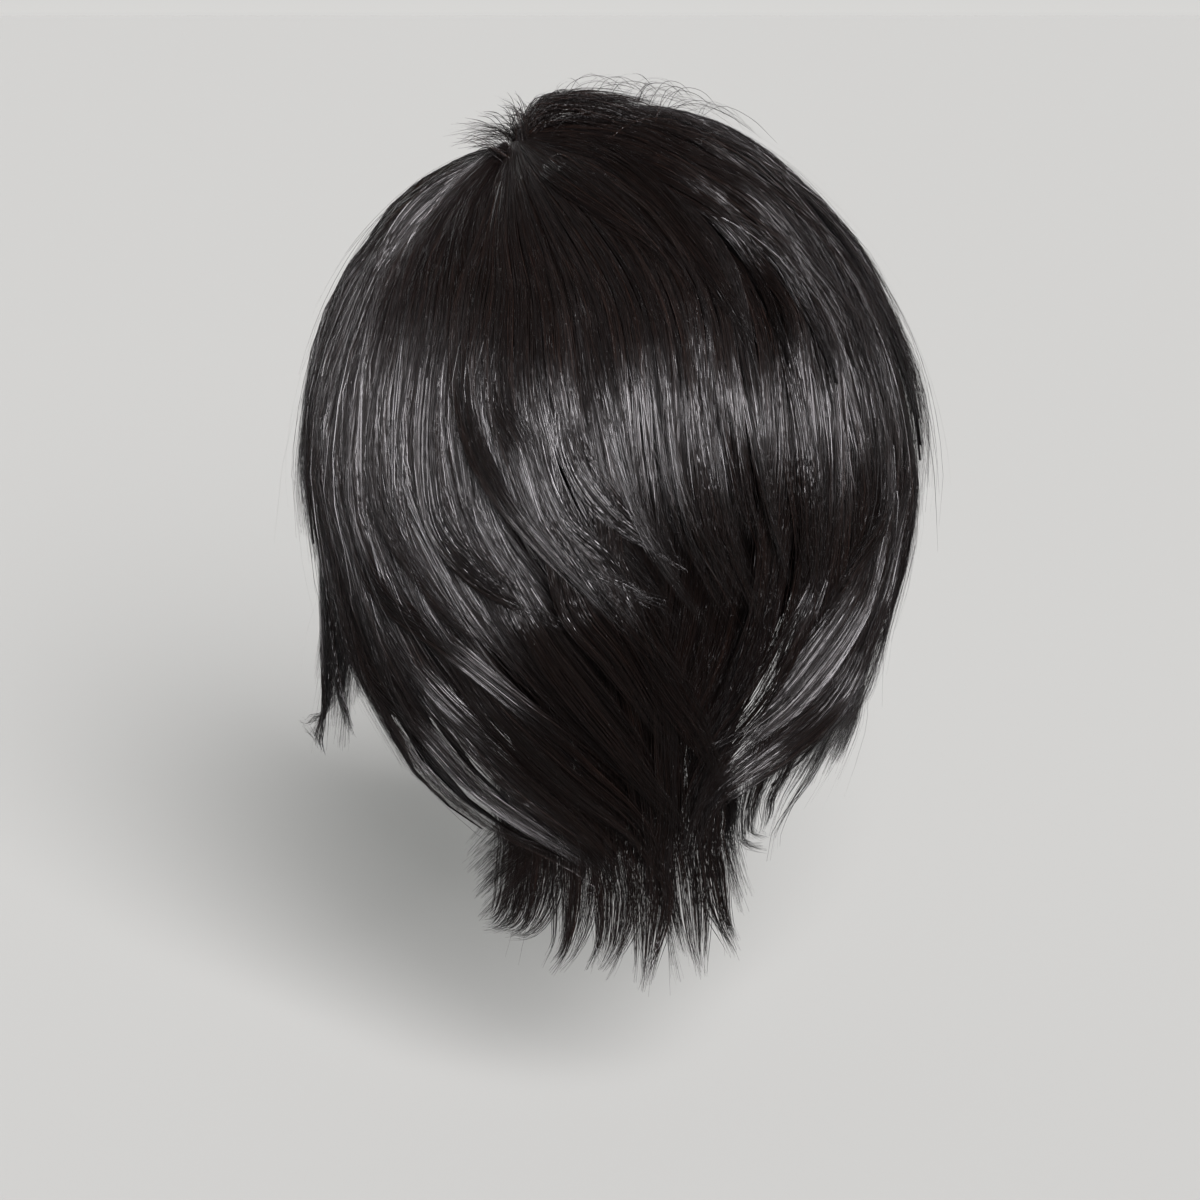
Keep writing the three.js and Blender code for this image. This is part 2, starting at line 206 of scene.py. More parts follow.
def hair_points(turn, drop, lift):
    """lift 0 lies just off the cap and lift 1 on the outside of the hair."""
    lift = np.asarray(lift)[..., None]
    return body_points(CAP_BODY, turn, drop) * (1 - lift) + body_points(HAIR_BODY, turn, drop) * lift


def spline(points, t):
    """A centripetal curve through points (..., n, d) at t (...) from 0 to 1."""
    points = np.asarray(points, float)
    t = np.asarray(t, float)
    n = points.shape[-2]
    lead = np.broadcast_shapes(points.shape[:-2], t.shape)
    points = np.broadcast_to(points, lead + points.shape[-2:])
    t = np.broadcast_to(t, lead)
    first = 2 * points[..., :1, :] - points[..., 1:2, :]
    last = 2 * points[..., -1:, :] - points[..., -2:-1, :]
    ext = np.concatenate([first, points, last], -2)
    x = np.clip(t, 0, 1) * (n - 1)
    i = np.minimum(x.astype(int), n - 2)
    w = (x - i)[..., None]
    p = [np.take_along_axis(ext, (i + k)[..., None, None], -2)[..., 0, :] for k in range(4)]
    d = [np.maximum(np.sum((p[k + 1] - p[k]) ** 2, -1, keepdims=True) ** 0.25, 1e-4) for k in range(3)]
    m1 = ((p[1] - p[0]) / d[0] - (p[2] - p[0]) / (d[0] + d[1]) + (p[2] - p[1]) / d[1]) * d[1]
    m2 = ((p[2] - p[1]) / d[1] - (p[3] - p[1]) / (d[1] + d[2]) + (p[3] - p[2]) / d[2]) * d[1]
    c2 = -3 * p[1] + 3 * p[2] - 2 * m1 - m2
    c3 = 2 * p[1] - 2 * p[2] + m1 + m2
    return p[1] + w * (m1 + w * (c2 + w * c3))


def sheet(guides, across, along):
    """Turn, drop and lift at a place across the region and along its hairs."""
    curves = np.stack([spline(np.array(g, float), along) for g in guides], -2)
    return spline(curves, across)


def directions(points, turn, drop):
    """Unit vectors sideways and outwards at each point of hairs (count, steps, 3)."""
    along = np.gradient(points, axis=1)
    along /= np.linalg.norm(along, axis=-1, keepdims=True) + 1e-9
    out = hair_points(turn, drop, np.full(turn.shape, 1.0)) - hair_points(turn, drop, np.full(turn.shape, 0.0))
    side = np.cross(along, out)
    side /= np.linalg.norm(side, axis=-1, keepdims=True) + 1e-9
    return side, np.cross(side, along)


class Builder:
    """Gathers quads of one piece."""

    def __init__(self):
        self.verts, self.faces, self.uvs, self.mats, self.count = [], [], [], [], 0

    def grid(self, points, uv, material, closed=False):
        """Rows of strips: points (count, steps, width, 3) with uv (count, steps, width, 2)."""
        s, k, w = points.shape[:3]
        index = np.arange(s * k * w).reshape(s, k, w) + self.count
        right = np.roll(index, -1, 2) if closed else index[:, :, 1:]
        left = index if closed else index[:, :, :-1]
        quads = np.stack([left[:, :-1], right[:, :-1], right[:, 1:], left[:, 1:]], -1).reshape(-1, 4)
        self.verts.append(points.reshape(-1, 3))
        self.uvs.append(uv.reshape(-1, 2))
        self.faces.append(quads)
        self.mats.append(np.full(len(quads), material))
        self.count += s * k * w
        if closed:
            for end, order in ((index[:, 0], 1), (index[:, -1], -1)):
                caps = np.stack([end[:, 0], end[:, 1], end[:, w // 2], end[:, -1]], -1)[:, ::order]
                self.faces.append(caps)
                self.mats.append(np.full(len(caps), material))

    def finish(self, name, materials, nodes=()):
        """Joins what was gathered into one piece, which stands for the nodes given."""
        verts = np.concatenate(self.verts) * MM
        faces = np.concatenate(self.faces)
        mats = np.concatenate(self.mats)
        uvs = np.concatenate(self.uvs)
        mesh = bpy.data.meshes.new(name)
        mesh.vertices.add(len(verts))
        mesh.vertices.foreach_set("co", verts.astype(np.float32).ravel())
        mesh.loops.add(faces.size)
        mesh.loops.foreach_set("vertex_index", faces.astype(np.int32).ravel())
        mesh.polygons.add(len(faces))
        mesh.polygons.foreach_set("loop_start", np.arange(0, faces.size, 4, dtype=np.int32))
        mesh.polygons.foreach_set("material_index", mats.astype(np.int32))
        layer = mesh.uv_layers.new(name="strand")
        layer.data.foreach_set("uv", uvs[faces.ravel()].astype(np.float32).ravel())
        for material in materials:
            mesh.materials.append(material)
        mesh.update(calc_edges=True)
        mesh.validate()
        mesh.polygons.foreach_set("use_smooth", np.ones(len(mesh.polygons), bool))
        piece = bpy.data.objects.new(name, mesh)
        bpy.context.scene.collection.objects.link(piece)
        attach(piece, "root")
        if nodes:
            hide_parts(*nodes)
        print(name, len(faces) * 2, "triangles")


def lock_table(rng, locks, style):
    """Random character of each lock of a region."""
    centre = (np.arange(locks) + 0.5 + rng.uniform(-0.16, 0.16, locks)) / locks
    return dict(
        centre=centre,
        length=1 - style["uneven"] * rng.random(locks),
        lift=rng.normal(0, style["rough"], locks),
        swing=rng.normal(0, style["swing"], locks) / locks,
        close=rng.uniform(*style["close"], locks),
        flick=rng.normal(style["flick_out"], style["flick_vary"], locks),
        drift=rng.normal(0, style["stray"], locks) + np.linspace(style["drift"], style["drift_to"], locks),
        wave=rng.uniform(0, FULL_TURN, locks),
    )


def add_ribbons(builder, rng, points, side, out, roll, width, tone, along):
    """One flat hair for each row of points (count, steps, 3), thinner towards its tip."""
    t = np.linspace(0, 1, points.shape[1])[None, :]
    across = side * np.cos(roll)[..., None] + out * np.sin(roll)[..., None]
    thick = width * rng.uniform(0.7, 1.3, len(points))[:, None] * np.clip((1 - t) * 5, 0.3, 1)
    half = across * thick[..., None] / 2
    ribbon = np.stack([points - half, points + half], 2)
    uv = np.empty(ribbon.shape[:3] + (2,))
    uv[..., 0] = 0.02 + 0.9 * tone[:, None, None] + np.array([0, 0.01])
    uv[..., 1] = along[..., None]
    builder.grid(ribbon, uv, 0)


def make_strands(builder, rng, guides, table, style):
    """Fine hairs that follow the locks of a region, gathered in clumps within each lock."""
    locks, count, fine = len(table["centre"]), style["count"], STRAND_CLUMPS
    middle = sheet(guides, np.full(9, 0.5), np.linspace(0, 1, 9))
    spine = hair_points(middle[:, 0], middle[:, 1] / 100, middle[:, 2] / 100)
    reach = np.linalg.norm(np.diff(spine, axis=0), axis=-1).sum()
    turns = FULL_TURN * reach / WAVE_LENGTH

    # Which lock and clump a hair belongs to
    place = rng.random(count)
    lock = np.clip((place * locks + rng.normal(0, 0.3, count)).astype(int), 0, locks - 1)
    within = rng.random(count) - 0.5
    group = np.clip(((within + 0.5) * fine).astype(int), 0, fine - 1)
    key = lock * fine + group
    g_rand = rng.random((locks * fine, 8))
    g_norm = rng.normal(0, 1, (locks * fine, 8))
    g_centre = (group + 0.5 + 0.4 * g_norm[key, 0]) / fine - 0.5
    own = within - g_centre

    # Where it starts and ends
    length = table["length"][lock] * (1 - style["short"] * g_rand[key, 1])
    length *= 1 - style["thin_out"] * rng.random(count) ** 2.2
    start = 0.02 * rng.random(count)
    t = np.linspace(0, 1, STRAND_STEPS + 1)[None, :]
    along = start[:, None] + (length - start)[:, None] * t
    loose = smooth(style["loose_from"], 1.0, along)
    away = smooth(0.02, 0.25, along)
    end = smooth(0.6, 1, t * np.ones((count, 1)))

    # Its place across the region, drawn together or spread towards the tip
    spread = style["spread"] / locks
    u = table["centre"][lock][:, None] + table["swing"][lock][:, None] * loose
    u = u + spread * g_centre[:, None] * (1 - table["close"][lock][:, None] * loose)
    u = u + spread * own[:, None] * (1 - (0.1 + 0.8 * g_rand[key, 2])[:, None] * loose)
    u = u + spread * 0.14 * g_norm[key, 3][:, None] * loose
    u = np.clip(u, -0.03, 1.03)
    path = sheet(guides, u, along)
    turn, drop, lift = path[..., 0], path[..., 1] / 100, path[..., 2] / 100
    points = hair_points(turn, drop, lift)
    side, out = directions(points, turn, drop)

    # How far it stands out
    ridge = -style["ridge"] * np.minimum(1, (2 * (u - table["centre"][lock][:, None]) * locks) ** 2)
    offset = (ridge + table["lift"][lock][:, None] + 0.7 * g_norm[key, 4][:, None]) * loose
    offset = offset - style["deep"] * (rng.random(count) ** 3)[:, None] * away
    offset = offset + rng.normal(0, 0.15, count)[:, None]
    wave = np.sin(along * turns + table["wave"][lock][:, None]) * style["wave"]
    wave = wave + np.sin(along * turns * (1 + g_rand[key, 4][:, None])
                         + FULL_TURN * g_rand[key, 5][:, None]) * 0.3
    wave = wave + np.sin(along * turns * 2.2 + FULL_TURN * rng.random(count)[:, None]) * 0.08
    offset = offset + wave * away
    offset = offset + (table["flick"][lock] + style["tip_loose"] * g_norm[key, 5])[:, None] * end ** 1.6
    offset = offset + rng.normal(0, 0.7, count)[:, None] * end

    # How far it sways and drifts sideways
    phase = g_rand[key, 6] * FULL_TURN
    sway = np.sin(phase[:, None] + along * (3 + 5 * g_rand[key, 7])[:, None]) * (0.3 + 0.7 * loose)
    sway = sway + np.sin(along * turns * 1.6 + FULL_TURN * rng.random(count)[:, None]) * (0.1 + 0.35 * loose)
    sideways = sway * away + table["drift"][lock][:, None] * end ** style["late"]
    sideways = sideways + 1.6 * g_norm[key, 6][:, None] * end ** 1.5
    sideways = sideways + rng.normal(0, 0.8, count)[:, None] * end
    points = points + out * offset[..., None] + side * sideways[..., None]
    side, out = directions(points, turn, drop)
    roll = (0.2 * g_norm[key, 7] + rng.normal(0, style["roll"], count))[:, None]
    roll = roll + 0.2 * np.sin(phase[:, None] * 2 + along * 6)
    tone = 0.6 * rng.random(count) + 0.4 * g_rand[key, 0]
    add_ribbons(builder, rng, points, side, out, roll, style["width"], tone, along)


def make_accent(builder, rng, rows, width, count, tip_flick=1.5, tip_swing=0.0, raised=0.6, hair=0.17):
    """One separate lock along rows of turn, drop and lift, rounded across and drawn together at its tip."""
    t = np.linspace(0, 1, ACCENT_STEPS + 1)[None, :]
    fine = ACCENT_CLUMPS
    group = rng.integers(0, fine, count)
    g_norm = rng.normal(0, 1, (fine, 8))
    g_place = np.linspace(-1, 1, fine) + 0.15 * g_norm[:, 0]
    length = (1 - 0.22 * rng.random(fine))[group] * (1 - 0.3 * rng.random(count) ** 1.8)
    begin = 0.14 * rng.random(count)
    along = begin[:, None] + (length - begin)[:, None] * t
    path = spline(np.array(rows, float), along)
    turn, drop, lift = path[..., 0], path[..., 1] / 100, path[..., 2] / 100
    points = hair_points(turn, drop, lift)
    side, out = directions(points, turn, drop)
    own = rng.normal(0, 0.22, count)
    end = smooth(0.55, 1, along)
    across = g_place[group][:, None] + own[:, None] * (1 - 0.6 * end)
    profile = width / 2 * (0.7 + 0.4 * np.sin(np.pi * along) - 0.45 * smooth(0.35, 1, along))
    sideways = across * profile + (1.2 * g_norm[group, 1][:, None] + tip_swing) * end ** 1.5
    sideways = sideways + np.sin(along * 5 + FULL_TURN * rng.random(count)[:, None]) * 0.35
    sideways = sideways + np.sin(along * 8 + 3 * g_norm[group, 4][:, None]) * 0.4
    sideways = sideways + rng.normal(0, 0.9, count)[:, None] * end ** 2
    emerge = smooth(0, 0.4, along)
    offset = -1.6 * (1 - emerge) + (raised - 1.0 * across ** 2 + 0.4 * g_norm[group, 2][:, None]) * emerge
    offset = offset - 1.4 * (rng.random(count) ** 2)[:, None]
    flick = tip_flick + 0.7 * g_norm[group, 5] + rng.normal(0, 0.5, count)
    offset = offset + flick[:, None] * end ** 1.7
    offset = offset + np.sin(along * 7 + g_norm[group, 3][:, None] * 2) * 0.35
    points = points + out * offset[..., None] + side * sideways[..., None]
    side, out = directions(points, turn, drop)
    roll = (0.3 * g_norm[group, 6] + rng.normal(0, 0.7, count))[:, None] + 0.3 * across
    tone = 0.6 * rng.random(count) + 0.3 * rng.random(fine)[group]
    add_ribbons(builder, rng, points, side, out, roll, hair, tone, along)


def make_free(builder, rng, points, hair):
    """Loose hairs through control points (count, 4, 3) in millimetres."""
    along = np.linspace(0, 1, FREE_STEPS + 1)[None, :] * np.ones((len(points), 1))
    path = spline(points[:, None], along)
    tangent = np.gradient(path, axis=1)
    tangent /= np.linalg.norm(tangent, axis=-1, keepdims=True) + 1e-9
    side = np.cross(tangent, path - INNER_POINT)
    side /= np.linalg.norm(side, axis=-1, keepdims=True) + 1e-9
    out = np.cross(side, tangent)
    roll = rng.normal(0, 0.6, len(points))[:, None] * np.ones_like(along)
    add_ribbons(builder, rng, path, side, out, roll, hair, rng.random(len(points)), along)


def make_locks(builder, guides, table, style, depth, tip_depth):
    """The closed body of each lock, under its fine hairs."""
    locks, section = len(table["centre"]), BODY_SECTION
    t = np.linspace(0, 1, BODY_STEPS + 1)[None, :, None]
    length = (table["length"] * np.linspace(*style["body"], locks))[:, None, None]
    along = t * length
    gather = smooth(0.3, 1.0, along)
    taper = 1 - style["point"] * np.clip((t - 0.5) / 0.5, 0, 1) ** 1.6
    u = table["centre"][:, None, None] + table["swing"][:, None, None] * smooth(0.2, 1, along)
    u = u + BODY_HALF / locks * section[:, 0] * (1 - table["close"][:, None, None] * gather) * taper
    u = np.clip(u, 0, 1)
    along = along * np.ones_like(u)
    path = sheet(guides, u, along)
    turn, drop, lift = path[..., 0], path[..., 1] / 100, path[..., 2] / 100
    thick = (depth + (tip_depth - depth) * smooth(0.5, 1, along)) / 100 * taper ** 2
    inner = np.maximum(0.01, lift - thick)
    lift = inner + np.maximum(lift - inner, 0.03) * section[:, 1]
    points = hair_points(turn, drop, lift)
    out = hair_points(turn, drop, lift * 0 + 1) - hair_points(turn, drop, lift * 0)
    out /= np.linalg.norm(out, axis=-1, keepdims=True)
    sink = (BODY_SINK + table["lift"][:, None, None] * smooth(0.4, 1, along)) * smooth(0.0, 0.3, along)
    sink = sink + table["flick"][:, None, None] * smooth(0.62, 1, t) ** 1.6
    points = points + out * sink[..., None]
    uv = np.empty(points.shape[:3] + (2,))
    uv[..., 0] = (np.arange(locks) / locks)[:, None, None] + section[:, 0] * 0.5 / locks
    uv[..., 1] = along
    builder.grid(points, uv, 1, closed=True)


# Materials
def node_material(name):
    material = bpy.data.materials.new(name)
    material.use_nodes = True
    nodes, links = material.node_tree.nodes, material.node_tree.links
    return material, nodes, links, nodes["Principled BSDF"]


def ramp(nodes, stops):
    node = nodes.new("ShaderNodeValToRGB")
    elements = node.color_ramp.elements
    while len(elements) < len(stops):
        elements.new(0.5)
    for element, (position, colour) in zip(elements, stops):
        element.position = position
        element.color = (*colour, 1)
    return node


def maths(nodes, links, operation, *values):
    """The output of a maths node, whose inputs are numbers or the outputs that feed them."""
    node = nodes.new("ShaderNodeMath")
    node.operation = operation
    for socket, value in zip(node.inputs, values):
        if isinstance(value, float):
            socket.default_value = value
        else:
            links.new(value, socket)
    return node.outputs[0]


def strand_ripple(nodes, links, across, along):
    """Noise along each hair, shifted from one hair to the next."""
    own = maths(nodes, links, "SNAP", across, 0.011)
    shift = maths(nodes, links, "MULTIPLY", own, 870.0)
    place = maths(nodes, links, "MULTIPLY_ADD", along, 17.0, shift)
    ripple = nodes.new("ShaderNodeTexNoise")
    ripple.noise_dimensions = "1D"
    ripple.inputs["Scale"].default_value = 1.0
    ripple.inputs["Detail"].default_value = 1.0
    links.new(place, ripple.inputs["W"])
    return ripple


def hair_material(name, body, gloss):
    """Near-black brown fibre: body is the material of the solid locks under the fine hairs, with its colours
    darkened as painted shade under those hairs.
    """
    material, nodes, links, shader = node_material(name)
    uv = nodes.new("ShaderNodeUVMap")
    uv.uv_map = "strand"
    split = nodes.new("ShaderNodeSeparateXYZ")
    links.new(uv.outputs[0], split.inputs[0])
    stretch = nodes.new("ShaderNodeMapping")
    stretch.inputs["Scale"].default_value = (160 if body else 70, 5, 1)
    links.new(uv.outputs[0], stretch.inputs[0])
    noise = nodes.new("ShaderNodeTexNoise")
    noise.inputs["Scale"].default_value = 1.0
    noise.inputs["Detail"].default_value = 3.0
    links.new(stretch.outputs[0], noise.inputs["Vector"])
    own = maths(nodes, links, "MULTIPLY_ADD", split.outputs[0], 0.0 if body else 0.6, -0.15)
    mix = maths(nodes, links, "ADD", noise.outputs[0], own)
    # Painted shade: the lock bodies' colours are darkened to 0.55 for the hair lying in shade under the fine hairs.
    body_shade = 0.55 if body else 1.0
    colours = ramp(nodes, [
        (0.25, (0.0012 * body_shade, 0.0008 * body_shade, 0.0008 * body_shade)),
        (0.55, (0.0025 * body_shade, 0.0016 * body_shade, 0.0014 * body_shade)),
        (0.8, (0.005 * body_shade, 0.0029 * body_shade, 0.0023 * body_shade)),
        (1.0, (0.013 * body_shade, 0.0065 * body_shade, 0.0045 * body_shade)),
    ])
    links.new(mix, colours.inputs[0])
    links.new(colours.outputs[0], shader.inputs["Base Color"])
    rough = nodes.new("ShaderNodeMapRange")
    rough.inputs["To Min"].default_value = 0.28
    rough.inputs["To Max"].default_value = 0.4
    links.new(noise.outputs[0], rough.inputs[0])
    links.new(rough.outputs[0], shader.inputs["Roughness"])
    shader.inputs["IOR"].default_value = 1.5
    shader.inputs["Specular IOR Level"].default_value = gloss
    shader.inputs["Anisotropic"].default_value = 0.85
    tangent = nodes.new("ShaderNodeTangent")
    tangent.direction_type = "UV_MAP"
    tangent.uv_map = "strand"
    links.new(tangent.outputs[0], shader.inputs["Tangent"])
    bump = nodes.new("ShaderNodeBump")
    bump.inputs["Strength"].default_value = 0.8 if body else 1.0
    bump.inputs["Distance"].default_value = 0.001 if body else 0.00075
    height = noise if body else strand_ripple(nodes, links, split.outputs[0], split.outputs[1])
    links.new(height.outputs[0], bump.inputs["Height"])
    links.new(bump.outputs[0], shader.inputs["Normal"])
    return material


def cap_material():
    """Fine dark net."""
    material, nodes, links, shader = node_material("cap_net")
    place = nodes.new("ShaderNodeTexCoord")
    cells = nodes.new("ShaderNodeTexVoronoi")
    cells.feature = "DISTANCE_TO_EDGE"
    cells.inputs["Scale"].default_value = 620
    links.new(place.outputs["Object"], cells.inputs["Vector"])
    colours = ramp(nodes, [(0.0, (0.012, 0.01, 0.0095)), (0.25, (0.0045, 0.004, 0.004)),
                           (1.0, (0.002, 0.002, 0.002))])
    links.new(cells.outputs["Distance"], colours.inputs[0])
    links.new(colours.outputs[0], shader.inputs["Base Color"])
    shader.inputs["Roughness"].default_value = 0.85
    bump = nodes.new("ShaderNodeBump")
    bump.invert = True
    bump.inputs["Strength"].default_value = 0.7
    bump.inputs["Distance"].default_value = 0.0006
    links.new(cells.outputs["Distance"], bump.inputs["Height"])
    links.new(bump.outputs[0], shader.inputs["Normal"])
    return material


# The fibre's gloss of 0.42 is the hair's own. The loose, sweep and side copies have weaker gloss, which is painted
# shade that dims their highlights. This applies on the whorl's hairs, on the top sweep, and on the crown's left,
# the back's right and the nape. On the top sweep the weaker gloss also stands for the sweep's duller fibre.
strand_mat = hair_material("hair_fibre", False, 0.42)
body_mat = hair_material("hair_lock_body", True, 0.06)
loose_shade_mat = hair_material("hair_loose_fibre_shade", False, 0.15)
sweep_dull_and_shade_mat = hair_material("hair_sweep_fibre_dull_and_shade", False, 0.2)
side_shade_mat = hair_material("hair_side_fibre_shade", False, 0.34)
net_mat = cap_material()
SHADE_FIBRES = {"top_sweep": sweep_dull_and_shade_mat, "crown_left": side_shade_mat, "back_hair_right": side_shade_mat, "nape_hair": side_shade_mat}
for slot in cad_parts["cap"].material_slots:
    slot.material = net_mat

# Style of the hair. Lengths across are in millimetres, and shares are of the hair's length or the lock's width.
# count and width of the hairs, uneven, short and thin_out lengths of locks, clumps and hairs, body from the first
# lock to the last and its point, swing, close and spread across the lock, drift to drift_to and stray of its tips,
# rough, ridge, deep and wave of its surface, flick and tip_loose of its ends
STYLE = dict(count=3000, width=0.155, uneven=0.16, short=0.14, thin_out=0.35, body=(0.9, 0.9), point=0.88,
             swing=0.3, close=(0.2, 0.7), spread=1.3, loose_from=0.3, drift=0.0, drift_to=0.0, stray=2.0,
             late=1.5, rough=0.9, ridge=2.4, deep=3.0, wave=1.0, roll=0.62, flick_out=0.6, flick_vary=1.2,
             tip_loose=1.2)
STYLES = {
    "nape_hair": dict(STYLE, count=3600, uneven=0.12, ridge=0.9, swing=0.45, close=(-0.15, 0.1), drift=18.0,
                      drift_to=-5.0, body=(0.78, 0.78), short=0.1, thin_out=0.25, spread=1.8, late=6.0),
    "back_hair_right": dict(STYLE, count=3400, body=(0.86, 0.99)),
    "back_hair_left": dict(STYLE, count=3700, body=(1.0, 0.84)),
    "back_hair_upper": dict(STYLE, count=3400),
    "top_sweep": dict(STYLE, count=3400),
    "crown_left": dict(STYLE, count=3200),
    "fringe_right": dict(STYLE, count=2200, body=(0.86, 0.86)),
    "side_hair_left": dict(STYLE, count=2000, body=(0.86, 0.86), close=(0.0, 0.5), short=0.1, thin_out=0.25),
    "side_hair_right": dict(STYLE, count=2200, body=(0.88, 0.88), close=(-0.1, 0.1), uneven=0.06, short=0.06,
                            thin_out=0.14, swing=0.15, stray=1.0, point=0.7),
}

